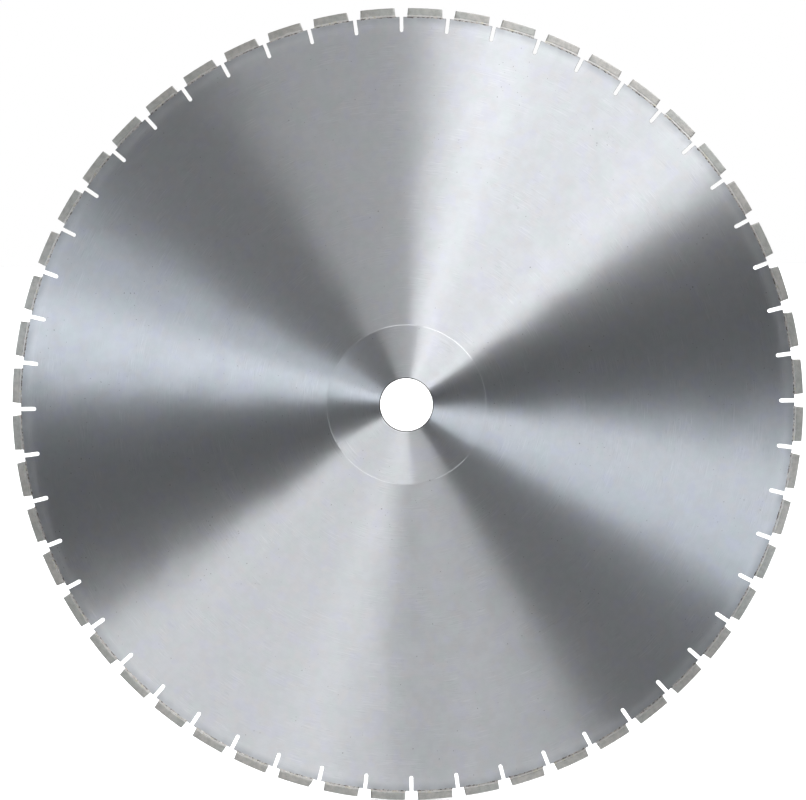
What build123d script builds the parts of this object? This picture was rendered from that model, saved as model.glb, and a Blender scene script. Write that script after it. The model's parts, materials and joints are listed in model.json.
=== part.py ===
from build123d import *
import os
from math import radians, tan

# Segmented diamond saw blade: a ground steel disc that carries sintered diamond segments, silver-brazed
# round its rim. The blade stands upright as a wheel does: it spins about Y, its front face looks
# towards -Y, Z is up, and the origin is the centre of the bore. All sizes are in millimetres.

# Overall sizes
BLADE_DIAMETER = 900.0        # over the cutting edges of the segments
CORE_THICKNESS = 3.5          # steel disc, face to face
SEGMENT_COUNT = 52            # one segment on each land, one slot between each two lands

# Segments
SEGMENT_HEIGHT = 10.0         # from the core's rim to the cutting edge, with its foot and the braze
SEGMENT_LENGTH = 40.0         # across the foot
SEGMENT_END_DRAFT = 3.0       # degrees that each end leans in towards the cutting edge
SIDE_CLEARANCE = 0.55         # how far a segment stands proud of the core on each face
FOOT_HEIGHT = 1.8             # diamond-free layer next to the core
FOOT_BEVEL = 0.25             # ground edge of the foot next to the core, on each face

# Braze
BRAZE_GAP = 0.15              # film between the core's rim and the foot
BRAZE_FILLET = 0.7            # how far the fillet runs down the core's face

# Core
BORE_DIAMETER = 60.0
BORE_CHAMFER = 0.5
FLANGE_SEAT_DIAMETER = 182.0
FLANGE_SEAT_RECESS = 0.05     # depth of the turned seat below each face
SLOT_WIDTH = 4.5
SLOT_DEPTH = 17.2             # from the core's rim to the round bottom of the slot
FIRST_SLOT_ANGLE = 0.47       # degrees from +X towards +Z

# Sizes that follow from those above
BLADE_RADIUS = BLADE_DIAMETER / 2
CORE_RADIUS = BLADE_RADIUS - SEGMENT_HEIGHT
BORE_RADIUS = BORE_DIAMETER / 2
CORE_FACE = CORE_THICKNESS / 2
SEAT_FACE = CORE_FACE - FLANGE_SEAT_RECESS
SEGMENT_FACE = CORE_FACE + SIDE_CLEARANCE
FOOT_FLOOR = CORE_RADIUS + BRAZE_GAP
FOOT_TOP = FOOT_FLOOR + FOOT_HEIGHT
BRAZE_FLOOR = CORE_RADIUS - BRAZE_FILLET
PITCH = 360.0 / SEGMENT_COUNT


def turned(section):
    """Ring turned about the spin axis from a closed outline of (radius, distance along Y) points."""
    return revolve(Polygon(*section, align=None), Axis.Y)


def turn_to(angle, shape):
    """The same shape turned by an angle in degrees from +X towards +Z."""
    return Rot(0, -angle, 0) * shape


def half_length(radius):
    """Half of a segment's length at a radius: the ends lean in towards the cutting edge."""
    return SEGMENT_LENGTH / 2 - (radius - FOOT_FLOOR) * tan(radians(SEGMENT_END_DRAFT))


def segment_blank():
    """Block on the +X side that holds one segment, its foot and its braze, cut to the drafted ends."""
    low = BRAZE_FLOOR - BRAZE_FILLET
    high = BLADE_RADIUS + SEGMENT_HEIGHT
    outline = Polygon(
        (low, -half_length(low)),
        (high, -half_length(high)),
        (high, half_length(high)),
        (low, half_length(low)),
        align=None,
    )
    return extrude(Plane.XZ * outline, amount=2 * SEGMENT_FACE, both=True)


def cutting_layer():
    """Diamond-bearing layer of one segment."""
    ring = turned([
        (FOOT_TOP, -SEGMENT_FACE),
        (BLADE_RADIUS, -SEGMENT_FACE),
        (BLADE_RADIUS, SEGMENT_FACE),
        (FOOT_TOP, SEGMENT_FACE),
    ])
    return ring & segment_blank()


def foot_layer():
    """Diamond-free foot of one segment, with its edge next to the core ground off on both faces."""
    ring = turned([
        (FOOT_FLOOR, -SEGMENT_FACE + FOOT_BEVEL),
        (FOOT_FLOOR + FOOT_BEVEL, -SEGMENT_FACE),
        (FOOT_TOP, -SEGMENT_FACE),
        (FOOT_TOP, SEGMENT_FACE),
        (FOOT_FLOOR + FOOT_BEVEL, SEGMENT_FACE),
        (FOOT_FLOOR, SEGMENT_FACE - FOOT_BEVEL),
    ])
    return ring & segment_blank()


def braze_joint():
    """Braze film under one foot, with a fillet in the corner on each face of the core."""
    reach = SEGMENT_FACE - FOOT_BEVEL
    ring = turned([
        (FOOT_FLOOR, -reach),
        (FOOT_FLOOR, reach),
        (BRAZE_FLOOR, CORE_FACE),
        (CORE_RADIUS, CORE_FACE),
        (CORE_RADIUS, -CORE_FACE),
        (BRAZE_FLOOR, -CORE_FACE),
    ])
    return ring & segment_blank()


def slot_cutter():
    """Cutter on the +X side for one cooling slot, open at the rim and round at the bottom."""
    bottom = CORE_RADIUS - SLOT_DEPTH + SLOT_WIDTH / 2
    length = CORE_RADIUS + SEGMENT_HEIGHT - bottom
    outline = Pos(bottom, 0) * Circle(SLOT_WIDTH / 2)
    outline += Pos(bottom + length / 2, 0) * Rectangle(length, SLOT_WIDTH)
    return extrude(Plane.XZ * outline, amount=CORE_THICKNESS, both=True)


def core():
    """Steel disc with its chamfered bore, a shallow flange seat on each face and the cooling slots."""
    seat_radius = FLANGE_SEAT_DIAMETER / 2
    disc = turned([
        (BORE_RADIUS + BORE_CHAMFER, -SEAT_FACE),
        (seat_radius, -SEAT_FACE),
        (seat_radius, -CORE_FACE),
        (CORE_RADIUS, -CORE_FACE),
        (CORE_RADIUS, CORE_FACE),
        (seat_radius, CORE_FACE),
        (seat_radius, SEAT_FACE),
        (BORE_RADIUS + BORE_CHAMFER, SEAT_FACE),
        (BORE_RADIUS, SEAT_FACE - BORE_CHAMFER),
        (BORE_RADIUS, -SEAT_FACE + BORE_CHAMFER),
    ])
    cutter = slot_cutter()
    return disc - [turn_to(FIRST_SLOT_ANGLE + place * PITCH, cutter) for place in range(SEGMENT_COUNT)]


def round_the_rim(shape):
    """One copy of a shape on each land, in the order of the segments' numbers."""
    return [turn_to(FIRST_SLOT_ANGLE + (place + 0.5) * PITCH, shape) for place in range(SEGMENT_COUNT)]


def group(shapes):
    """Separate solids of one kind, kept together in one node."""
    return Compound(children=[shape.solid() for shape in shapes])


nodes = {"core": core()}
for number, segment in enumerate(round_the_rim(cutting_layer()), start=1):
    nodes[f"segment_{number:02d}"] = segment
nodes["segment_feet"] = group(round_the_rim(foot_layer()))
nodes["braze_joints"] = group(round_the_rim(braze_joint()))

os.makedirs("parts", exist_ok=True)
for name, shape in nodes.items():
    export_step(shape, os.path.join("parts", name + ".step"))
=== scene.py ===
import json
from math import asin, cos, hypot, pi, radians, sin, sqrt, tan

import bmesh
import bpy
from mathutils import Matrix, Quaternion, Vector, noise


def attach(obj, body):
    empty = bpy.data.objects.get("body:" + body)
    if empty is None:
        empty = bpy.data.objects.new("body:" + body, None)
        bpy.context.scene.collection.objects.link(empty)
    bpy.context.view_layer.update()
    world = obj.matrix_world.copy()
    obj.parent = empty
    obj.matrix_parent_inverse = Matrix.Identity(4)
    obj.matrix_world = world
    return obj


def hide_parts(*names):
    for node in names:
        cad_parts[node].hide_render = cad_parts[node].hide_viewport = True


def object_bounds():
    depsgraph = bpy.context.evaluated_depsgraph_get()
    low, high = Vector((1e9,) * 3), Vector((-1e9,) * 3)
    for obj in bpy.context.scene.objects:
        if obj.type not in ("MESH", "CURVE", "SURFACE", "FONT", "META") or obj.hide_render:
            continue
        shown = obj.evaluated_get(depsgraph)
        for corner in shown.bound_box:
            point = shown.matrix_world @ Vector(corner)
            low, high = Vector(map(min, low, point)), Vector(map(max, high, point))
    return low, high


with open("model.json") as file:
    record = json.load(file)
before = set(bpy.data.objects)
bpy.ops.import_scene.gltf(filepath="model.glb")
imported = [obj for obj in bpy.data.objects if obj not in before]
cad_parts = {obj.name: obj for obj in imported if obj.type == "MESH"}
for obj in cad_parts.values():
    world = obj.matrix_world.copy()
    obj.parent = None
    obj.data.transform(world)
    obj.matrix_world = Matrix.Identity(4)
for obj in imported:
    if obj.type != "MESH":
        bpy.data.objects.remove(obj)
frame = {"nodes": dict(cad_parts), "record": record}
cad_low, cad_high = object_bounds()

# A segmented diamond saw blade: a ground steel disc with sintered segments brazed round its rim. It stands
# upright, spins about Y and shows its front face to -Y. Every length here is in metres.

MM = 0.001
NODES = frame["nodes"]
MOUNTS = {mount["name"]: mount for mount in frame["record"]["mounts"]}


# ---------------------------------------------------------------- sizes

def reach(node):
    """Least and greatest distance of a node from the spin axis, and its half thickness."""
    places = [vertex.co for vertex in NODES[node].data.vertices]
    radii = [hypot(place.x, place.z) for place in places]
    return min(radii), max(radii), max(abs(place.y) for place in places)


# From the frame
SEGMENT_NODES = sorted(name for name in NODES if name.startswith("segment_") and name[-1].isdigit())
PITCH = 2 * pi / len(SEGMENT_NODES)
BORE_RADIUS = MOUNTS["bore"]["dims"]["r_mm"] * MM
SEAT_FACE = abs(MOUNTS["back_flange_seat"]["pos_m"][1])
CORE_RADIUS, CORE_FACE = (round(size, 5) for size in reach("core")[1:])
FOOT_FLOOR, FOOT_TOP = (round(size, 5) for size in reach("segment_feet")[:2])
BLADE_RADIUS, SEGMENT_FACE = (round(size, 5) for size in reach("segment_01")[1:])

TOUCH = 0.01 * MM               # points closer than this count as one
MIRROR_TOUCH = 0.001 * MM       # and this close to a mirror plane they lie on it

# Steel disc
SEAT_RADIUS = 91 * MM           # turned seat for the clamping flange
SEAT_STEP = 0.6 * MM            # width of the shallow turned step round the seat
BORE_CHAMFER = 0.5 * MM
SLOT_WIDTH = 4.5 * MM
SLOT_DEPTH = 17.2 * MM
FIRST_SLOT = radians(0.47)      # from +X towards +Z
EDGE_BREAK = 0.2 * MM           # deburred edges of the rim and the slots

# Segments
SEGMENT_LENGTH = 40 * MM        # across the foot
SEGMENT_DRAFT = radians(3)      # lean of each end towards the cutting edge
LAYER_EDGE = 0.3 * MM           # worn roundness of the cutting layer's edges
FOOT_EDGE = 0.25 * MM           # ground edge of the foot next to the core
KNOCKED_SEGMENT = 36            # the segment with a broken corner, counted from the first slot
KNOCK_WIDTH = 2.6 * MM          # how much of the cutting edge the broken corner takes
FILLET_REACH = 0.7 * MM         # how far the braze runs down the core's faces
LAYER_DISH = 0.05 * MM          # unevenness of the cutting layer's flat sides
LAYER_CHIP = 0.18 * MM          # unevenness of its edges and its rim
FOOT_UNEVEN = 0.06 * MM
FILLET_SWELL = 0.16 * MM        # unevenness of the braze's thickness
FILLET_RUN = 0.9 * MM           # unevenness of how far it runs down

# Patterns on the steel
MARK_TILT = 0.055               # how much more the grinding marks' flanks face outwards than inwards
LIP_WIDTH = 2.2 * MM            # lip round the bore, lighter on its lower left
BORE_SHADE_WIDTH = 1.2 * MM          # painted shade in and just outside the bore's chamfer
HEAT_REACH = 21 * MM            # how far in from the rim the heat of the brazing shows at all
DULL_REACH = 11 * MM            # and how far in it dulls the colour
SEAT_TURN_SPAN = 40             # degrees that the whole range of the seat's ramp stands for
# How the seat's grinding marks lie against the rest of the face: direction and turn, both in degrees
SEAT_TURNS = [(0, 1), (36, -1.5), (85, -7.5), (122, -8), (151, -3), (179, -3), (213, -6), (246, 0),
              (268, 8), (300, 2.5), (328, -2.5), (360, 1)]
# Arcs of the turned step with a painted highlight: where each begins and ends in degrees, and how bright
PAINTED_HIGHLIGHT_ARCS = [(33, 80, 1.0), (80, 108, 0.45), (196, 208, 0.3), (226, 246, 0.2), (288, 320, 0.35),
               (351, 370, 0.1)]

# How the steel scatters light: the sharpness of its fans, how brushed it is, and how rough
FAN_SHARPNESS = 0.75
BRUSHED = 0.9
STEEL_ROUGHNESS = (0.325, 0.345)

# Finishes, as linear red, green and blue
COOL_STEEL = (0.775, 0.80, 0.80)
PALE_STEEL = (0.80, 0.81, 0.82)
WARM_STEEL = (0.82, 0.80, 0.785)
VIOLET_STEEL = (0.775, 0.78, 0.86)
GREEN_STEEL = (0.76, 0.815, 0.79)
HEATED_STEEL = (0.56, 0.58, 0.59)
PALE_LIP_STEEL = (0.98, 0.98, 0.97)
BLOTCH = (0.50, 0.51, 0.52)
GRAIN = (0.45, 0.46, 0.46)
LIGHT_ARC = (0.97, 0.97, 0.98)
DARK_ARC = (0.40, 0.41, 0.42)
SPECK = (0.24, 0.23, 0.22)
# painted shade round the bore's edge
PAINTED_BORE_SHADE = (0.06, 0.06, 0.055)
RESIDUE = (0.20, 0.18, 0.16)
TURNED_STEEL = (0.79, 0.80, 0.80)
# painted highlight on the turned step's arcs
PAINTED_HIGHLIGHT = (0.98, 0.98, 0.98)
CUT_DARK = (0.16, 0.16, 0.155)
CUT_LIGHT = (0.34, 0.34, 0.33)
CUT_STAIN = (0.12, 0.10, 0.085)
# painted shade on the bore's wall and chamfer
PAINTED_BORE_WALL_SHADE = (0.05, 0.05, 0.045)
MATRIX_GREEN = (0.435, 0.445, 0.415)
MATRIX_WARM = (0.495, 0.475, 0.44)
MATRIX_DARK = (0.28, 0.28, 0.26)
MATRIX_LIGHT = (0.60, 0.59, 0.555)
GRIT = (0.58, 0.59, 0.42)
FOOT_METAL = (0.64, 0.625, 0.59)
FOOT_BRIGHT = (0.82, 0.81, 0.77)
ROSE_TINT = (0.67, 0.55, 0.49)
STRAW_TINT = (0.74, 0.70, 0.52)
FLUX_DARK = (0.13, 0.11, 0.10)
BRAZE_TAN = (0.60, 0.58, 0.54)
BRAZE_ROSE = (0.61, 0.545, 0.50)
BRAZE_BRIGHT = (0.86, 0.84, 0.80)
FLOOR_TONE = (0.9, 0.9, 0.9, 1.0)
PLAIN_WHITE = (1.0, 1.0, 1.0, 1.0)

# Light panels round the blade: where each begins and ends in degrees from +X towards +Z, how bright it is,
# and its tint
DARK_GAP = (0.02, 0.02, 0.02)
WHITE_LIGHT = (1.0, 1.01, 1.05)
BLUE_LIGHT = (0.93, 1.0, 1.11)
LIGHT_PANELS = [
    (35, 46, 2.3, WHITE_LIGHT),
    (46, 70, 1.8, WHITE_LIGHT),
    (70, 80, 2.3, WHITE_LIGHT),
    (80, 87, 1.7, WHITE_LIGHT),
    (121, 154, 0.2, WHITE_LIGHT),
    (162, 178, 1.6, BLUE_LIGHT),
    (213, 264, 0.2, WHITE_LIGHT),
    (264, 272, 0.75, WHITE_LIGHT),
    (272, 297, 1.05, WHITE_LIGHT),
    (329, 340, 1.5, BLUE_LIGHT),
    (340, 351, 0.75, WHITE_LIGHT),
]

# Camera: where it stands, what it looks at, and the width it takes in there
LENS_AZIMUTH = radians(3.2)
LENS_ELEVATION = radians(1.8)
LENS_ROLL = radians(-0.28)
LENS_DISTANCE = 7.1
LENS_AIM = Vector((-3.9 * MM, 0.0, 5.3 * MM))
VIEW_WIDTH = 0.9158


# ---------------------------------------------------------------- mesh helpers

def arc(bm, start, angle, steps, centre=(0, 0, 0)):
    """Arc from a vertex round a line along Y, from +X towards +Z: its edges, and the vertex at its end."""
    before = set(bm.edges)
    made = bmesh.ops.spin(bm, geom=[start], cent=centre, axis=(0, -1, 0), dvec=(0, 0, 0), angle=angle,
                          steps=steps, use_duplicate=False, use_merge=False)
    end = vertices_of(made["geom_last"])[0]
    return [edge for edge in bm.edges if edge not in before], end


def vertices_of(geometry):
    return [item for item in geometry if isinstance(item, bmesh.types.BMVert)]


def whole(bm):
    return bm.verts[:] + bm.edges[:] + bm.faces[:]


def radius_of(vertex):
    return hypot(vertex.co.x, vertex.co.z)


def slope_of(face):
    """How squarely a face looks along the spin axis: 1 on the flat sides, 0 on a wall."""
    return abs(face.normal.y)


def finished(name, bm, materials, nodes):
    """Object of a mesh that rides with the blade and stands for CAD nodes."""
    mesh = bpy.data.meshes.new(name)
    bm.to_mesh(mesh)
    bm.free()
    for material in materials:
        mesh.materials.append(material)
    piece = bpy.data.objects.new(name, mesh)
    bpy.context.scene.collection.objects.link(piece)
    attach(piece, "root")
    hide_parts(*nodes)
    return piece


# ---------------------------------------------------------------- steel disc

def half_land(bm):
    """Front face from the middle of a slot to the middle of the next land, with the flange seat's step."""
    half = PITCH / 2
    ring_steps, rim_steps, slot_steps = 2, 5, 6
    rings = []
    circles = [(BORE_RADIUS, SEAT_FACE), (SEAT_RADIUS - SEAT_STEP, SEAT_FACE), (SEAT_RADIUS, CORE_FACE)]
    for radius, face in circles:
        start = bm.verts.new((radius, -face, 0))
        edges, end = arc(bm, start, half, ring_steps)
        rings.append((start, edges, end))
    for (_, inner, _), (_, outer, _) in zip(rings, rings[1:]):
        bmesh.ops.bridge_loops(bm, edges=inner + outer)

    slot_radius = SLOT_WIDTH / 2
    slot_centre = CORE_RADIUS - SLOT_DEPTH + slot_radius
    mouth = sqrt(CORE_RADIUS ** 2 - slot_radius ** 2)
    bottom = bm.verts.new((slot_centre - slot_radius, -CORE_FACE, 0))
    round_end, side = arc(bm, bottom, -pi / 2, slot_steps, (slot_centre, 0, 0))
    corner = vertices_of([bmesh.ops.extrude_vert_indiv(bm, verts=[side])["verts"][0]])[0]
    bmesh.ops.translate(bm, verts=[corner], vec=(mouth - slot_centre, 0, 0))
    rim, land = arc(bm, corner, half - asin(slot_radius / CORE_RADIUS), rim_steps)
    seat_start, seat_arc, seat_end = rings[-1]
    web = seat_arc + round_end + rim + [bm.edges.get((side, corner))]
    web += [bm.edges.new((seat_start, bottom)), bm.edges.new((seat_end, land))]
    bmesh.ops.contextual_create(bm, geom=web)


def disc_mesh():
    bm = bmesh.new()
    half_land(bm)
    bmesh.ops.mirror(bm, geom=whole(bm), matrix=Matrix(), merge_dist=MIRROR_TOUCH, axis="Z")
    copies = len(SEGMENT_NODES) - 1
    bmesh.ops.spin(bm, geom=whole(bm), cent=(0, 0, 0), axis=(0, -1, 0), dvec=(0, 0, 0),
                   angle=copies * PITCH, steps=copies, use_duplicate=True)
    bmesh.ops.rotate(bm, verts=bm.verts[:], cent=(0, 0, 0), matrix=Matrix.Rotation(-FIRST_SLOT, 3, "Y"))
    bmesh.ops.remove_doubles(bm, verts=bm.verts[:], dist=TOUCH)
    made = bmesh.ops.extrude_face_region(bm, geom=bm.faces[:], use_keep_orig=True)
    bmesh.ops.scale(bm, verts=vertices_of(made["geom"]), vec=(1, -1, 1))
    bmesh.ops.recalc_face_normals(bm, faces=bm.faces[:])

    for width, inside in ((BORE_CHAMFER, True), (EDGE_BREAK, False)):
        corners = [edge for edge in bm.edges if is_corner(edge) and is_inside(edge) == inside]
        bmesh.ops.bevel(bm, geom=corners, offset=width, offset_type="OFFSET", segments=1, profile=0.5,
                        affect="EDGES", material=-1, clamp_overlap=True)
    bm.normal_update()
    for face in bm.faces:
        face.smooth = True
        if slope_of(face) < 0.99:
            face.material_index = 2
        elif slope_of(face) < 0.9999:
            face.material_index = 1
    for edge in bm.edges:
        edge.smooth = not is_crease(edge)
    return bm


def is_corner(edge):
    """True where a flat side of the disc meets a wall."""
    slopes = sorted(slope_of(face) for face in edge.link_faces)
    return slopes[0] < 0.1 and slopes[1] > 0.9


def is_inside(edge):
    """True round the bore, false round the rim and the slots."""
    return radius_of(edge.verts[0]) < SEAT_RADIUS / 2


def is_crease(edge):
    """True along the seat's step and the broken edges, and at the corners of the walls."""
    one, other = edge.link_faces
    level = abs(slope_of(one) - slope_of(other)) < 0.0005
    return not level or one.normal.angle(other.normal) >= radians(30)


# ---------------------------------------------------------------- segments

def half_length(radius):
    """Half of a segment's length at a radius: the ends lean in towards the cutting edge."""
    return SEGMENT_LENGTH / 2 - (radius - FOOT_FLOOR) * tan(SEGMENT_DRAFT)


def run_of(edge):
    """Direction of an edge, one way or the other."""
    return (edge.verts[0].co - edge.verts[1].co).normalized()


def straight_bar(low, high, half_width, cuts):
    """Straight bar, before it is bent round the rim: X along it, Y across the blade, Z its radius."""
    bm = bmesh.new()
    bmesh.ops.create_cube(bm, size=1.0)
    bmesh.ops.scale(bm, verts=bm.verts[:], vec=(SEGMENT_LENGTH, 2 * half_width, high - low))
    bmesh.ops.translate(bm, verts=bm.verts[:], vec=(0, 0, (low + high) / 2))
    for way, count in enumerate(cuts):
        along = [edge for edge in bm.edges if abs(run_of(edge)[way]) > 0.99]
        bmesh.ops.subdivide_edges(bm, edges=along, cuts=count, use_grid_fill=True)
    return bm


def bent(place, number):
    """Where a point of a straight bar comes to lie on the rim, on the land with this number."""
    reach_along = place.x / (SEGMENT_LENGTH / 2) * half_length(place.z)
    outwards = sqrt(place.z ** 2 - reach_along ** 2)
    turn = FIRST_SLOT + (number + 0.5) * PITCH
    return Vector((outwards * cos(turn) - reach_along * sin(turn), place.y,
                   outwards * sin(turn) + reach_along * cos(turn)))


def cutting_layer(number, materials):
    """Diamond-bearing layer of one segment: pressed and sintered, its edges a little rounded and chipped."""
    bm = straight_bar(FOOT_TOP, BLADE_RADIUS, SEGMENT_FACE, (23, 2, 4))
    if number == KNOCKED_SEGMENT:
        end = Vector((SEGMENT_LENGTH / 2, 0, FOOT_TOP + 1 * MM))
        broken = Vector((BLADE_RADIUS - FOOT_TOP, 0, KNOCK_WIDTH))
        bmesh.ops.bisect_plane(bm, geom=whole(bm), plane_co=end, plane_no=broken, clear_outer=True)
        bmesh.ops.holes_fill(bm, edges=[edge for edge in bm.edges if edge.is_boundary])
    edges = [edge for edge in bm.edges if edge.calc_face_angle(0) > radians(60)]
    bmesh.ops.bevel(bm, geom=edges, offset=LAYER_EDGE, offset_type="OFFSET", segments=2, profile=0.5,
                    affect="EDGES", material=-1, clamp_overlap=True)
    seed = Vector((number * 7.3, 0, 0))
    half_height = (BLADE_RADIUS - FOOT_TOP) / 2
    middle = FOOT_TOP + half_height
    for vertex in bm.verts:
        place = vertex.co
        here = seed + Vector((place.x, place.y, place.z - middle)) / (3 * MM)
        rough = min(max(0.5 + 0.5 * noise.fractal(here, 1.0, 2.0, 3), 0.0), 1.0)
        edge_share = max(abs(place.x) / (SEGMENT_LENGTH / 2), (place.z - middle) / half_height) ** 12
        across = 1 - (LAYER_DISH + LAYER_CHIP * edge_share) * rough / SEGMENT_FACE
        along = 1 - LAYER_CHIP * rough / (SEGMENT_LENGTH / 2)
        lowered = place.z - (LAYER_CHIP * rough if place.z > middle + half_height / 2 else 0)
        vertex.co = bent(Vector((place.x * along, place.y * across, lowered)), number)
    smooth_surfaces(bm)
    name = f"cutting_layer_{number + 1:02d}"
    return finished(name, bm, materials, [SEGMENT_NODES[number]])


def on_every_land(bar, shape):
    """One mesh with a copy of a straight bar bent onto each land. shape moves a point before it is bent."""
    pattern = bpy.data.meshes.new("pattern")
    bar.to_mesh(pattern)
    bar.free()
    bm = bmesh.new()
    for number in range(len(SEGMENT_NODES)):
        first = len(bm.verts)
        bm.from_mesh(pattern)
        bm.verts.ensure_lookup_table()
        for vertex in bm.verts[first:]:
            vertex.co = bent(shape(vertex.co, number), number)
    bpy.data.meshes.remove(pattern)
    smooth_surfaces(bm)
    return bm


def smooth_surfaces(bm):
    """Smooth shading with a sharp edge at each real corner."""
    bmesh.ops.recalc_face_normals(bm, faces=bm.faces[:])
    bm.normal_update()
    for face in bm.faces:
        face.smooth = True
    for edge in bm.edges:
        edge.smooth = edge.calc_face_angle(0) < radians(38)


def feet(materials):
    """Diamond-free feet of the segments, ground along the edge next to the core."""
    bar = straight_bar(FOOT_FLOOR, FOOT_TOP, SEGMENT_FACE, (19, 0, 1))
    lower = [edge for edge in bar.edges if all(vertex.co.z < FOOT_FLOOR + TOUCH for vertex in edge.verts)]
    sides = [edge for edge in lower if all(abs(vertex.co.y) > SEGMENT_FACE - TOUCH for vertex in edge.verts)]
    bmesh.ops.bevel(bar, geom=sides, offset=FOOT_EDGE, offset_type="OFFSET", segments=2, profile=0.5,
                    affect="EDGES", material=-1, clamp_overlap=True)

    def shape(place, number):
        rough = 0.5 + 0.5 * noise.noise(Vector((place.x / (2.5 * MM), number * 5.1, place.z / (1.5 * MM))))
        return Vector((place.x, place.y * (1 - FOOT_UNEVEN * rough / SEGMENT_FACE), place.z))

    return finished("feet", on_every_land(bar, shape), materials, ["segment_feet"])


def braze(materials):
    """Silver braze under the feet: a thin film, and an uneven fillet down both faces of the core."""
    bar = bmesh.new()
    reach_across = SEGMENT_FACE - FOOT_EDGE
    half_section = [
        (reach_across, FOOT_FLOOR),
        (CORE_FACE + 0.12 * MM, CORE_RADIUS - 0.35 * FILLET_REACH),
        (CORE_FACE + 0.02 * MM, CORE_RADIUS - FILLET_REACH),
        (CORE_FACE - 0.02 * MM, CORE_RADIUS - 0.9 * FILLET_REACH),
        (CORE_FACE - EDGE_BREAK, CORE_RADIUS),
    ]
    section = [(-across, radius) for across, radius in half_section] + half_section[::-1]
    ring = [bar.verts.new((-SEGMENT_LENGTH / 2, across, radius)) for across, radius in section]
    face = bmesh.ops.contextual_create(bar, geom=ring)["faces"]
    made = bmesh.ops.extrude_face_region(bar, geom=face, use_keep_orig=True)
    bmesh.ops.translate(bar, verts=vertices_of(made["geom"]), vec=(SEGMENT_LENGTH, 0, 0))
    along = [edge for edge in bar.edges if abs(edge.verts[0].co.x - edge.verts[1].co.x) > SEGMENT_LENGTH / 2]
    bmesh.ops.subdivide_edges(bar, edges=along, cuts=31, use_grid_fill=True)

    def shape(place, number):
        side = 1 if place.y > 0 else -1
        here = Vector((place.x / (2.2 * MM), side * 3.7, number * 4.3))
        run = noise.fractal(here, 1.0, 2.0, 3)
        swell = 0.5 + 0.5 * noise.noise(here * 1.7)
        share = min(max((CORE_RADIUS - place.z) / FILLET_REACH, 0), 1)
        outside = abs(place.y) > CORE_FACE + TOUCH
        across = side * FILLET_SWELL * swell * (1 - share) * share * 4 if outside else 0
        return Vector((place.x, place.y + across, place.z - FILLET_RUN * share * (run + 0.3)))

    return finished("braze", on_every_land(bar, shape), materials, ["braze_joints"])


# ---------------------------------------------------------------- node helpers

def new_material(name):
    material = bpy.data.materials.new(name)
    material.use_nodes = True
    tree = material.node_tree
    tree.nodes.clear()
    return material, tree


def surfaced(material, shader):
    """The material, with this shader as its surface."""
    add(material.node_tree, "ShaderNodeOutputMaterial", None, Surface=shader.outputs[0])
    return material


def add(tree, kind, settings=None, **inputs):
    """One node with its settings and its inputs: a number, a colour, or the output of another node."""
    node = tree.nodes.new(kind)
    for key, value in (settings or {}).items():
        setattr(node, key, value)
    for key, value in inputs.items():
        socket = node.inputs[int(key[1:])] if key[1:].isdigit() else node.inputs[key.replace("_", " ")]
        if isinstance(value, bpy.types.NodeSocket):
            tree.links.new(value, socket)
        else:
            socket.default_value = value
    return node


def math_node(tree, operation, first, second=0.0):
    return add(tree, "ShaderNodeMath", {"operation": operation}, i0=first, i1=second).outputs[0]


def product(tree, first, second):
    return math_node(tree, "MULTIPLY", first, second)


def total(tree, first, second):
    return math_node(tree, "ADD", first, second)


def swung(tree, value, span):
    """A noise round 0.5 turned into one round 0, with this span."""
    return product(tree, math_node(tree, "SUBTRACT", value, 0.5), span)


def share_of_turn(tree, angle):
    """An angle in radians as a share of a full turn, from 0 to 1."""
    return math_node(tree, "FRACT", total(tree, math_node(tree, "DIVIDE", angle, 2 * pi), 1.0))


def vector_node(tree, operation, first, second=(0.0, 0.0, 0.0)):
    node = add(tree, "ShaderNodeVectorMath", {"operation": operation}, i0=first, i1=second)
    return node.outputs["Value"] if operation in ("LENGTH", "DOT_PRODUCT") else node.outputs["Vector"]


def ranged(tree, value, low, high, out_low=0.0, out_high=1.0):
    """A value mapped from one range onto another, and held there."""
    node = add(tree, "ShaderNodeMapRange", {"clamp": True, "interpolation_type": "SMOOTHSTEP"}, Value=value,
               From_Min=low, From_Max=high, To_Min=out_low, To_Max=out_high)
    return node.outputs[0]


def blend(tree, share, first, second, kind="MIX"):
    """Colour that goes from first to second."""
    node = add(tree, "ShaderNodeMix", {"data_type": "RGBA", "blend_type": kind})
    for socket, value in ((node.inputs[0], share), (node.inputs[6], first), (node.inputs[7], second)):
        if isinstance(value, bpy.types.NodeSocket):
            tree.links.new(value, socket)
        elif isinstance(value, float):
            socket.default_value = value
        else:
            socket.default_value = (*value, 1.0)
    return node.outputs[2]


def fine_noise(tree, vector, scale=1.0, detail=2.0, seed=0.0):
    """Noise from about 0.2 to 0.8 round 0.5, one pattern for each seed."""
    moved = vector_node(tree, "ADD", vector, (seed, 0.37 * seed, 0.71 * seed))
    return add(tree, "ShaderNodeTexNoise", None, Vector=moved, Scale=scale, Detail=detail).outputs["Fac"]


def colour_ramp(tree, value, stops, interpolation="LINEAR"):
    """Colour ramp through (place, colour) stops."""
    node = add(tree, "ShaderNodeValToRGB", None, Fac=value)
    ramp = node.color_ramp
    ramp.interpolation = interpolation
    while len(ramp.elements) < len(stops):
        ramp.elements.new(0.5)
    for element, (place, colour) in zip(ramp.elements, stops):
        element.position = place
        element.color = (*colour, 1.0)
    return node.outputs[0]


# ---------------------------------------------------------------- finishes

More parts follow.
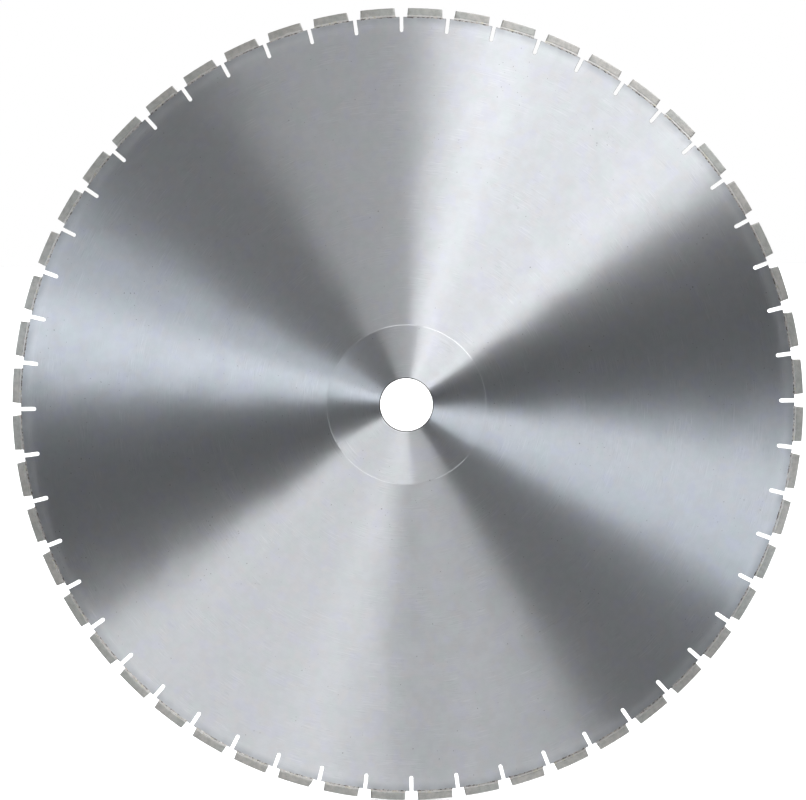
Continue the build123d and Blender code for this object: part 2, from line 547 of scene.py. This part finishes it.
class Place:
    """Where a point lies on the blade, for the patterns that follow its grinding marks."""

    def __init__(self, tree):
        self.tree = tree
        self.point = add(tree, "ShaderNodeTexCoord").outputs["Object"]
        parts = add(tree, "ShaderNodeSeparateXYZ", None, Vector=self.point)
        self.x, self.y, self.z = parts.outputs
        self.flat = vector_node(tree, "MULTIPLY", self.point, (1.0, 0.0, 1.0))
        self.radius = vector_node(tree, "LENGTH", self.flat)
        self.outwards = vector_node(tree, "NORMALIZE", self.flat)

    def direction(self):
        """Share of a full turn from +X towards +Z."""
        parts = add(self.tree, "ShaderNodeSeparateXYZ", None, Vector=self.outwards)
        angle = math_node(self.tree, "ARCTAN2", parts.outputs["Z"], parts.outputs["X"])
        return share_of_turn(self.tree, angle)

    def marks(self, length, width):
        """Pattern space drawn out along the grinding marks, with another pattern on each face."""
        tree = self.tree
        across = math_node(tree, "DIVIDE", self.radius, width)
        middle = total(tree, across, product(tree, self.y, 9.0 / MM))
        along = [math_node(tree, "DIVIDE", way, length) for way in (self.x, self.z)]
        return add(tree, "ShaderNodeCombineXYZ", None, X=along[0], Y=middle, Z=along[1]).outputs[0]


def spots(tree, place, size):
    node = add(tree, "ShaderNodeVectorMath", {"operation": "SCALE"}, i0=place.point)
    node.inputs["Scale"].default_value = 1.0 / size
    return node.outputs[0]


def leaning_out(tree, place, tilt):
    """Normal that leans away from the axis, as the flanks of the grinding marks do."""
    upright = add(tree, "ShaderNodeNewGeometry").outputs["Normal"]
    lean = vector_node(tree, "MULTIPLY", place.outwards, (tilt, tilt, tilt))
    return vector_node(tree, "NORMALIZE", vector_node(tree, "ADD", upright, lean))


def steel_colour(tree, place, clouds, patches):
    """Cool, warm, violet and green patches, and darker blotches."""
    tone = blend(tree, ranged(tree, clouds, 0.35, 0.65), COOL_STEEL, PALE_STEEL)
    tone = blend(tree, ranged(tree, patches, 0.40, 0.75, 0.0, 0.6), tone, WARM_STEEL)
    hues = fine_noise(tree, spots(tree, place, 24 * MM), detail=3.0, seed=35.0)
    tone = blend(tree, ranged(tree, hues, 0.52, 0.66, 0.0, 0.5), tone, VIOLET_STEEL)
    tone = blend(tree, ranged(tree, hues, 0.48, 0.34, 0.0, 0.5), tone, GREEN_STEEL)
    blotches = fine_noise(tree, spots(tree, place, 8 * MM), detail=3.0, seed=37.0)
    return blend(tree, ranged(tree, blotches, 0.3, 0.7, 0.0, 0.10), tone, BLOTCH)


def with_grinding(tree, place, grain, tone):
    """Grain of the grinding, with light and dark arcs gathered in places, and specks in crowds."""
    light_arcs = fine_noise(tree, place.marks(24 * MM, 0.8 * MM), detail=1.0, seed=5.0)
    dark_arcs = fine_noise(tree, place.marks(11 * MM, 0.9 * MM), detail=1.0, seed=13.0)
    specks = fine_noise(tree, spots(tree, place, 2.3 * MM), detail=0.0, seed=21.0)
    crowds = fine_noise(tree, spots(tree, place, 40 * MM), detail=1.0, seed=23.0)
    gathered = fine_noise(tree, spots(tree, place, 32 * MM), detail=1.0, seed=27.0)
    gathered = ranged(tree, gathered, 0.48, 0.62)

    tone = blend(tree, ranged(tree, grain, 0.36, 0.64, 0.0, 0.035), tone, GRAIN)
    light_share = product(tree, ranged(tree, light_arcs, 0.58, 0.70, 0.0, 0.38), gathered)
    tone = blend(tree, light_share, tone, LIGHT_ARC)
    dark_share = product(tree, ranged(tree, dark_arcs, 0.60, 0.72, 0.0, 0.16), gathered)
    tone = blend(tree, dark_share, tone, DARK_ARC)
    dots = total(tree, specks, product(tree, crowds, 0.25))
    return blend(tree, ranged(tree, dots, 0.945, 1.0, 0.0, 0.6), tone, SPECK)


def with_bore_lip_and_shade(tree, place, tone):
    """Lip near white on the lower left of the bore, and painted shade at its edge."""
    lip = ranged(tree, place.radius, BORE_RADIUS + LIP_WIDTH, BORE_RADIUS + LIP_WIDTH - 0.4 * MM)
    low_side = ranged(tree, place.z, 0.0, -12 * MM)
    left_side = ranged(tree, place.x, 12 * MM, 0.0)
    tone = blend(tree, product(tree, product(tree, lip, low_side), left_side), tone, PALE_LIP_STEEL)
    # Painted shade: a near-black ring at the bore's edge.
    edge = BORE_RADIUS + BORE_SHADE_WIDTH
    return blend(tree, ranged(tree, place.radius, edge, edge - 0.2 * MM, 0.0, 0.9), tone, PAINTED_BORE_SHADE)


def with_brazing_heat(tree, place, patches, tone):
    """Steel dulled by the heat of the brazing towards the rim, with dark residue at its very edge."""
    dulled = ranged(tree, place.radius, CORE_RADIUS - DULL_REACH, CORE_RADIUS - 1 * MM)
    dulled = product(tree, dulled, ranged(tree, patches, 0.35, 0.65, 0.6, 1.0))
    tone = blend(tree, dulled, tone, HEATED_STEEL)
    frayed = fine_noise(tree, spots(tree, place, 3 * MM), seed=31.0)
    ragged = total(tree, place.radius, product(tree, frayed, 3 * MM))
    residue = ranged(tree, ragged, CORE_RADIUS + 0.9 * MM, CORE_RADIUS + 1.4 * MM, 0.0, 0.75)
    return blend(tree, residue, tone, RESIDUE)


def run_of_marks(tree, place, clouds, grain):
    """Direction across the grinding marks: it wanders a little, and was set afresh for the flange seat."""
    wander = swung(tree, clouds, radians(4))
    shake = swung(tree, grain, radians(1.5))
    in_seat = math_node(tree, "LESS_THAN", place.radius, SEAT_RADIUS - SEAT_STEP)
    stops = [(way / 360, (0.5 + turned / SEAT_TURN_SPAN,) * 3) for way, turned in SEAT_TURNS]
    set_afresh = swung(tree, colour_ramp(tree, place.direction(), stops), radians(SEAT_TURN_SPAN))
    turn = total(tree, total(tree, wander, shake), product(tree, in_seat, set_afresh))
    turned = add(tree, "ShaderNodeVectorRotate", {"rotation_type": "Y_AXIS"}, Vector=place.outwards,
                 Angle=turn)
    return turned.outputs[0]


def ground_face():
    """Steel ground in circles, which gathers light into bright sectors."""
    material, tree = new_material("ground_face")
    place = Place(tree)
    clouds = fine_noise(tree, spots(tree, place, 55 * MM), detail=2.0, seed=3.0)
    patches = fine_noise(tree, spots(tree, place, 17 * MM), detail=2.0, seed=8.0)
    grain = fine_noise(tree, place.marks(26 * MM, 0.8 * MM), detail=2.0, seed=1.0)
    tone = steel_colour(tree, place, clouds, patches)
    tone = with_grinding(tree, place, grain, tone)
    tone = with_bore_lip_and_shade(tree, place, tone)
    tone = with_brazing_heat(tree, place, patches, tone)

    tangent = run_of_marks(tree, place, clouds, grain)
    normal = leaning_out(tree, place, MARK_TILT)
    roughness = ranged(tree, patches, 0.3, 0.7, *STEEL_ROUGHNESS)
    heated = ranged(tree, place.radius, CORE_RADIUS - HEAT_REACH, CORE_RADIUS - 1 * MM)
    gather = add(tree, "ShaderNodeBsdfAnisotropic", {"distribution": "GGX"}, Color=tone,
                 Roughness=roughness, Anisotropy=-FAN_SHARPNESS, Tangent=tangent, Normal=normal)
    scatter = add(tree, "ShaderNodeBsdfPrincipled", None, Base_Color=tone,
                  Metallic=ranged(tree, heated, 0.0, 1.0, 0.9, 0.53), Roughness=roughness,
                  Anisotropic=BRUSHED, Tangent=tangent, Normal=normal)
    scattered = ranged(tree, heated, 0.0, 1.0, 0.06, 0.15)
    both = add(tree, "ShaderNodeMixShader", None, Fac=scattered, i1=gather.outputs[0], i2=scatter.outputs[0])
    return surfaced(material, both)


def cut_edge():
    """Walls of the bore, the slots and the rim: cut steel with fine lines through its thickness. The bore's
    wall and chamfer are painted near black as shade.
    """
    material, tree = new_material("cut_edge")
    place = Place(tree)
    stretched = vector_node(tree, "MULTIPLY", place.point, (1 / (0.35 * MM), 1 / (4 * MM), 1 / (0.35 * MM)))
    lines = fine_noise(tree, stretched, detail=2.0, seed=2.0)
    stain = fine_noise(tree, spots(tree, place, 5 * MM), detail=3.0, seed=6.0)
    tone = blend(tree, ranged(tree, lines, 0.35, 0.65), CUT_DARK, CUT_LIGHT)
    tone = blend(tree, ranged(tree, stain, 0.45, 0.7, 0.0, 0.5), tone, CUT_STAIN)
    # Painted shade: the bore's wall and chamfer are darkened near black.
    in_bore = math_node(tree, "LESS_THAN", place.radius, BORE_RADIUS + 1 * MM)
    tone = blend(tree, in_bore, tone, PAINTED_BORE_WALL_SHADE)
    relief = add(tree, "ShaderNodeBump", None, Height=lines, Strength=0.3, Distance=0.1 * MM)
    shader = add(tree, "ShaderNodeBsdfPrincipled", None, Base_Color=tone, Metallic=0.9,
                 Roughness=ranged(tree, stain, 0.3, 0.7, 0.32, 0.55), Normal=relief.outputs[0])
    return surfaced(material, shader)


def segment_finish(name):
    """Sintered powder with diamond grit above, the lighter foot below, and a ragged line between."""
    material, tree = new_material(name)
    place = Place(tree)
    mottle = fine_noise(tree, spots(tree, place, 5.5 * MM), detail=3.0, seed=4.0)
    powder = fine_noise(tree, spots(tree, place, 0.55 * MM), detail=2.0, seed=9.0)
    rubbed = fine_noise(tree, place.marks(9 * MM, 0.45 * MM), detail=2.0, seed=15.0)
    batch = fine_noise(tree, spots(tree, place, 45 * MM), detail=1.0, seed=25.0)
    cells = add(tree, "ShaderNodeTexVoronoi", None, Vector=spots(tree, place, 1.1 * MM), Scale=1.0)
    near_grit = ranged(tree, cells.outputs["Distance"], 0.16, 0.24, 1.0, 0.0)
    chosen = add(tree, "ShaderNodeSeparateColor", None, Color=cells.outputs["Color"]).outputs[0]
    grit = product(tree, near_grit, math_node(tree, "GREATER_THAN", chosen, 0.45))

    matrix = blend(tree, ranged(tree, batch, 0.4, 0.6), MATRIX_GREEN, MATRIX_WARM)
    matrix = blend(tree, ranged(tree, mottle, 0.38, 0.66, 0.0, 0.55), matrix, MATRIX_DARK)
    matrix = blend(tree, ranged(tree, powder, 0.35, 0.65, 0.0, 0.35), matrix, MATRIX_LIGHT)
    matrix = blend(tree, ranged(tree, rubbed, 0.55, 0.70, 0.0, 0.35), matrix, MATRIX_LIGHT)
    matrix = blend(tree, product(tree, grit, 0.75), matrix, GRIT)

    foot = blend(tree, ranged(tree, rubbed, 0.35, 0.65), FOOT_METAL, FOOT_BRIGHT)
    tinted = fine_noise(tree, spots(tree, place, 4 * MM), detail=2.0, seed=41.0)
    foot = blend(tree, ranged(tree, tinted, 0.58, 0.70, 0.0, 0.5), foot, ROSE_TINT)
    foot = blend(tree, ranged(tree, tinted, 0.44, 0.34, 0.0, 0.6), foot, STRAW_TINT)
    sunk = fine_noise(tree, spots(tree, place, 1.6 * MM), detail=2.0, seed=43.0)
    low_edge = ranged(tree, place.radius, FOOT_FLOOR + 0.5 * MM, FOOT_FLOOR + 0.1 * MM)
    foot = blend(tree, product(tree, low_edge, ranged(tree, sunk, 0.54, 0.66)), foot, FLUX_DARK)

    ragged = total(tree, place.radius, swung(tree, mottle, 1.8 * MM))
    upper = ranged(tree, ragged, FOOT_TOP, FOOT_TOP + 0.4 * MM)
    tone = blend(tree, upper, foot, matrix)
    height = total(tree, powder, product(tree, grit, 0.8))
    relief = add(tree, "ShaderNodeBump", None, Height=height, Strength=0.35, Distance=0.12 * MM,
                 Normal=leaning_out(tree, place, 0.09))
    shader = add(tree, "ShaderNodeBsdfPrincipled", None, Base_Color=tone,
                 Metallic=ranged(tree, upper, 0.0, 1.0, 0.93, 0.76),
                 Roughness=ranged(tree, upper, 0.0, 1.0, 0.34, 0.38), Anisotropic=BRUSHED,
                 Tangent=place.outwards, Normal=relief.outputs[0])
    return surfaced(material, shader)


def braze_finish():
    """Silver braze dressed almost level with the faces, oxidised dark in places and tinted rose and tan."""
    material, tree = new_material("braze_alloy")
    place = Place(tree)
    patches = fine_noise(tree, spots(tree, place, 3.2 * MM), detail=3.0, seed=17.0)
    tints = fine_noise(tree, spots(tree, place, 7 * MM), detail=2.0, seed=19.0)
    tone = blend(tree, ranged(tree, tints, 0.40, 0.60), BRAZE_TAN, BRAZE_ROSE)
    tone = blend(tree, ranged(tree, patches, 0.40, 0.50), FLUX_DARK, tone)
    tone = blend(tree, ranged(tree, patches, 0.58, 0.68), tone, BRAZE_BRIGHT)
    upright = add(tree, "ShaderNodeNewGeometry").outputs["Normal"]
    side = add(tree, "ShaderNodeCombineXYZ", None, Y=math_node(tree, "SIGN", place.y)).outputs[0]
    level = vector_node(tree, "ADD", side, side)
    dressed = vector_node(tree, "NORMALIZE", vector_node(tree, "ADD", upright, level))
    relief = add(tree, "ShaderNodeBump", None, Height=patches, Strength=0.2, Distance=0.2 * MM,
                 Normal=dressed)
    shader = add(tree, "ShaderNodeBsdfPrincipled", None, Base_Color=tone, Metallic=0.8, Roughness=0.36,
                 Anisotropic=BRUSHED, Tangent=place.outwards, Normal=relief.outputs[0])
    return surfaced(material, shader)


def turned_step():
    """Narrow step round the flange seat: turned steel, with a painted highlight along a few arcs."""
    material, tree = new_material("turned_step")
    place = Place(tree)
    turn = place.direction()
    bright = 0.0
    # Each arc is a painted highlight where the step catches light. It stays fixed to the blade from any
    # angle.
    for first, last, most in PAINTED_HIGHLIGHT_ARCS:
        middle, half = (first + last) / 720, (last - first) / 720
        away = math_node(tree, "PINGPONG", math_node(tree, "SUBTRACT", turn, middle), 0.5)
        bright = math_node(tree, "MAXIMUM", bright, ranged(tree, away, half * 1.1, half * 0.7, 0.0, most))
    patches = fine_noise(tree, spots(tree, place, 9 * MM), detail=2.0, seed=33.0)
    bright = product(tree, bright, ranged(tree, patches, 0.30, 0.55, 0.85, 1.0))
    tone = blend(tree, bright, TURNED_STEEL, PAINTED_HIGHLIGHT)
    shader = add(tree, "ShaderNodeBsdfPrincipled", None, Base_Color=tone,
                 Metallic=ranged(tree, bright, 0.0, 1.0, 1.0, 0.0), Roughness=0.335,
                 Anisotropic=BRUSHED, Tangent=place.outwards)
    return surfaced(material, shader)


# ---------------------------------------------------------------- studio

def lens_direction():
    """Direction from the blade to the lens, a little to the right of its axis and above it."""
    level = cos(LENS_ELEVATION)
    return Vector((sin(LENS_AZIMUTH) * level, -cos(LENS_AZIMUTH) * level, sin(LENS_ELEVATION)))


def studio():
    """Plain white to the lens. Light panels stand round the line that the blade mirrors the lens along.

    The dark gaps between them show as the blade's dark sectors.
    """
    world = bpy.data.worlds.new("studio")
    world.use_nodes = True
    bpy.context.scene.world = world
    tree = world.node_tree
    tree.nodes.clear()
    lens = lens_direction()
    line = Vector((lens.x, -lens.y, lens.z))
    right = (Vector((1, 0, 0)) - line * line.x).normalized()
    up = line.cross(right)
    up = up if up.z > 0 else -up
    way = add(tree, "ShaderNodeTexCoord").outputs["Generated"]
    turn = math_node(tree, "ARCTAN2", vector_node(tree, "DOT_PRODUCT", way, tuple(up)),
                     vector_node(tree, "DOT_PRODUCT", way, tuple(right)))
    edges = {0: DARK_GAP}
    for first, last, brightness, tint in LIGHT_PANELS:
        edges[first] = tuple(brightness * part for part in tint)
        edges[last] = DARK_GAP
    stops = [(angle / 360, colour) for angle, colour in edges.items()]
    ring = colour_ramp(tree, share_of_turn(tree, turn), stops, "CONSTANT")
    panels = add(tree, "ShaderNodeBackground", None, Color=ring, Strength=1.0)
    white = add(tree, "ShaderNodeBackground", None, Color=PLAIN_WHITE, Strength=1.0)
    seen = add(tree, "ShaderNodeLightPath").outputs["Is Camera Ray"]
    both = add(tree, "ShaderNodeMixShader", None, Fac=seen, i1=panels.outputs[0], i2=white.outputs[0])
    add(tree, "ShaderNodeOutputWorld", None, Surface=both.outputs[0])


def floor():
    """Plain pale floor level with the blade's lowest edge. It isn't mirrored in it and casts no shadow."""
    bm = bmesh.new()
    bmesh.ops.create_grid(bm, x_segments=1, y_segments=1, size=60.0)
    bmesh.ops.translate(bm, verts=bm.verts[:], vec=(0, 0, cad_low.z))
    mesh = bpy.data.meshes.new("floor")
    bm.to_mesh(mesh)
    bm.free()
    surface = bpy.data.objects.new("floor", mesh)
    bpy.context.scene.collection.objects.link(surface)
    material, tree = new_material("pale_floor")
    shader = add(tree, "ShaderNodeBsdfPrincipled", None, Base_Color=FLOOR_TONE, Roughness=0.9)
    mesh.materials.append(surfaced(material, shader))
    surface.visible_glossy = False
    surface.visible_shadow = False


def overhead_light():
    lamp = bpy.data.lights.new("overhead", "SUN")
    lamp.energy = 4.5
    lamp.angle = radians(20)
    lamp_object = bpy.data.objects.new("overhead", lamp)
    lamp_object.visible_glossy = False
    bpy.context.scene.collection.objects.link(lamp_object)


def camera():
    lens = bpy.data.cameras.new("camera")
    lens_object = bpy.data.objects.new("camera", lens)
    bpy.context.scene.collection.objects.link(lens_object)
    bpy.context.scene.camera = lens_object
    back = lens_direction()
    lens_object.location = LENS_AIM + back * LENS_DISTANCE
    lens_object.rotation_mode = "QUATERNION"
    lens_object.rotation_quaternion = (-back).to_track_quat("-Z", "Y") @ Quaternion((0, 0, 1), LENS_ROLL)
    lens.sensor_width = 36.0
    lens.lens = lens.sensor_width * LENS_DISTANCE / VIEW_WIDTH
    lens.clip_end = 100.0


bpy.context.scene.view_settings.view_transform = "Standard"
studio()
floor()
overhead_light()
camera()

finished("steel_disc", disc_mesh(), [ground_face(), turned_step(), cut_edge()], ["core"])
layer_finish = segment_finish("sintered_matrix")
for number in range(len(SEGMENT_NODES)):
    cutting_layer(number, [layer_finish])
feet([segment_finish("ground_foot")])
braze([braze_finish()])
